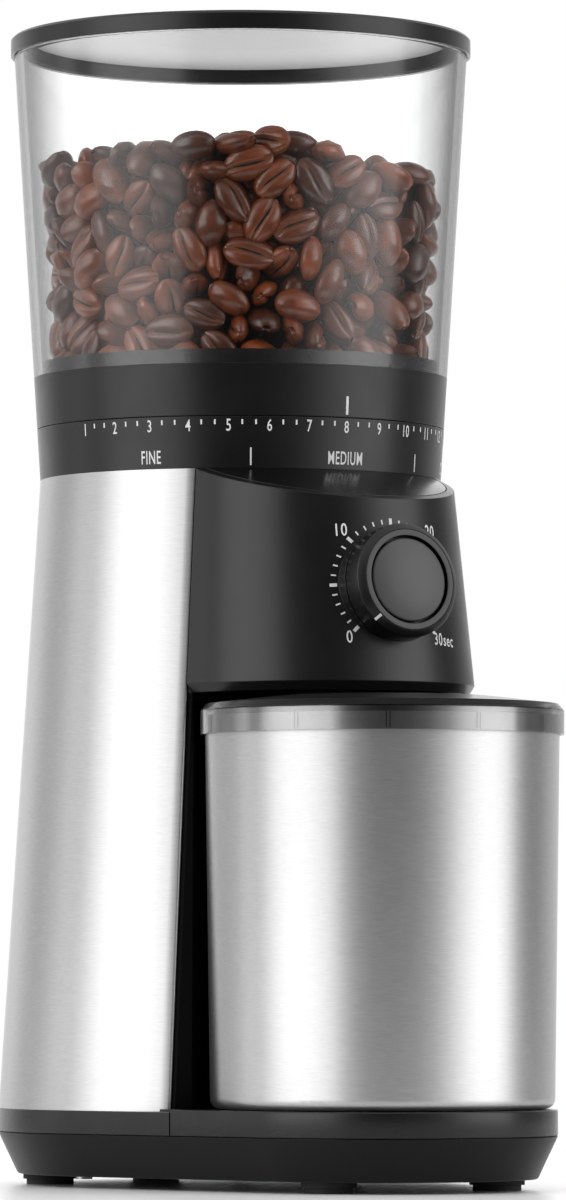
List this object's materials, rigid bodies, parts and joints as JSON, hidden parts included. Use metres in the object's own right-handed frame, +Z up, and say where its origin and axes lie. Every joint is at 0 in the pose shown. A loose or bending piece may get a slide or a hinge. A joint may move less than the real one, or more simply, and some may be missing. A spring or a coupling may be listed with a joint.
{
  "type": "burr coffee grinder",
  "caption": "Upright conical burr coffee grinder: clear hopper over a grind-size ring, steel column, timer knob with start button, and a lidded steel container in the front bay.",
  "frame": {"origin": "centre of the whole footprint, on the floor under the feet", "axes": "+Z up; front (knob and container) faces -Y; +X is to the right seen from the front"},
  "size_m": [0.1724, 0.2452, 0.414],
  "materials": {
    "feet_rubber": "matt",
    "black_plastic": "satin black moulding",
    "screw_steel": "zinc plated",
    "steel_sheet": "brushed along the round",
    "inner_plastic": "dark grey moulding",
    "gloss_black": "polished black",
    "ring_plastic": "satin black, fine texture",
    "board": "solder mask green",
    "knob_plastic": "satin",
    "button_plastic": "satin, slightly lighter",
    "bearing_steel": "ground",
    "shaft_steel": "ground",
    "gear_plastic": "natural acetal",
    "burr_steel": "hardened and ground",
    "motor_steel": "plated can",
    "magnet": "sintered",
    "copper_rotor": "wound copper and laminations",
    "brass_gear": "cut",
    "clear_hopper": "clear smoked acrylic",
    "liner_grey": "pale grey",
    "smoked_clear": "smoked clear plastic"
  },
  "bodies": {
    "frame": {"rubber_feet": "feet_rubber", "base_pan": "black_plastic", "pan_screws": "screw_steel", "front_deck": "black_plastic", "rear_skirt": "black_plastic", "cord_inlet": "feet_rubber", "steel_shell": "steel_sheet", "column_panel": "black_plastic", "chassis_posts": "inner_plastic", "top_plate": "inner_plastic", "plate_screws": "screw_steel", "head_housing": "black_plastic", "shoulder_trim": "gloss_black", "scale_ring": "ring_plastic", "control_board": "board", "start_switch": "inner_plastic", "dial_encoder": "inner_plastic", "power_board": "board", "hopper_switch": "inner_plastic", "chute": "inner_plastic", "grind_chamber": "inner_plastic", "chamber_screws": "screw_steel", "upper_bearing": "bearing_steel", "lower_bearing": "bearing_steel", "gear_case": "inner_plastic", "gear_cover": "inner_plastic", "idler_pin": "shaft_steel", "motor_can": "motor_steel", "motor_magnets": "magnet", "motor_end_cap": "inner_plastic", "motor_isolator": "feet_rubber", "motor_cradle": "inner_plastic"},
    "knob": {"timer_knob": "knob_plastic", "knob_clip": "screw_steel"},
    "button": {"start_button": "button_plastic"},
    "idler": {"idler_gear": "gear_plastic"},
    "burr": {"output_gear": "gear_plastic", "burr_shaft": "shaft_steel", "impeller": "inner_plastic", "cone_burr": "burr_steel", "burr_nut": "screw_steel"},
    "upper_burr": {"ring_burr": "burr_steel", "ring_burr_screws": "screw_steel", "ring_burr_carrier": "inner_plastic"},
    "adjuster": {"adjuster_ring": "inner_plastic"},
    "motor": {"motor_rotor": "copper_rotor", "motor_pinion": "brass_gear"},
    "hopper": {"pointer_ring": "ring_plastic", "hopper_funnel": "inner_plastic", "hopper_wall": "clear_hopper"},
    "shutter": {"hopper_shutter": "inner_plastic"},
    "lid": {"hopper_lid": "black_plastic", "lid_liner": "liner_grey", "lid_seal": "feet_rubber"},
    "cup": {"container": "steel_sheet"},
    "cup_lid": {"container_lid": "smoked_clear"}
  },
  "joints": [
    {"name": "grind_setting", "type": "hinge", "parent": "frame", "child": "adjuster", "pos_m": [0, 0.03635, 0.256], "axis": [0, 0, 1], "range_deg": [-79.45, 79.45]},
    {"name": "ring_burr_lift", "type": "slide", "parent": "frame", "child": "upper_burr", "axis": [0, 0, 1], "range_m": [-0.00081, 0.00081]},
    {"name": "hopper_lift", "type": "slide", "parent": "adjuster", "child": "hopper", "axis": [0, 0, 1], "range_m": [0, 0.06]},
    {"name": "shutter_turn", "type": "hinge", "parent": "hopper", "child": "shutter", "pos_m": [0, 0.03635, 0.26], "axis": [0, 0, 1], "range_deg": [0, 90]},
    {"name": "lid_lift", "type": "slide", "parent": "hopper", "child": "lid", "axis": [0, 0, 1], "range_m": [0, 0.05]},
    {"name": "motor_spin", "type": "hinge", "parent": "frame", "child": "motor", "pos_m": [0, 0.03635, 0.1], "axis": [0, 0, 1], "continuous": true},
    {"name": "idler_spin", "type": "hinge", "parent": "frame", "child": "idler", "pos_m": [0, 0.06635, 0.15], "axis": [0, 0, 1], "continuous": true},
    {"name": "burr_spin", "type": "hinge", "parent": "frame", "child": "burr", "pos_m": [0, 0.03635, 0.2], "axis": [0, 0, 1], "continuous": true},
    {"name": "timer_dial", "type": "hinge", "parent": "frame", "child": "knob", "pos_m": [0, -0.06804, 0.2089], "axis": [0, 0.9909, -0.1344], "range_deg": [0, 270]},
    {"name": "start_press", "type": "slide", "parent": "frame", "child": "button", "axis": [0, 0.9909, -0.1344], "range_m": [0, 0.0015], "stiffness_N_per_m": 600, "springref_m": -0.002},
    {"name": "container_slide", "type": "slide", "parent": "frame", "child": "cup", "axis": [0, -1, 0], "range_m": [0, 0.13]},
    {"name": "container_lid_lift", "type": "slide", "parent": "cup", "child": "cup_lid", "axis": [0, 0, 1], "range_m": [0, 0.0015]}
  ],
  "couplings": [
    {"joint": "ring_burr_lift", "follows": "grind_setting", "m_per_rad": 0.00057692},
    {"joint": "idler_spin", "follows": "motor_spin", "ratio": -0.25},
    {"joint": "burr_spin", "follows": "motor_spin", "ratio": 0.083333}
  ]
}
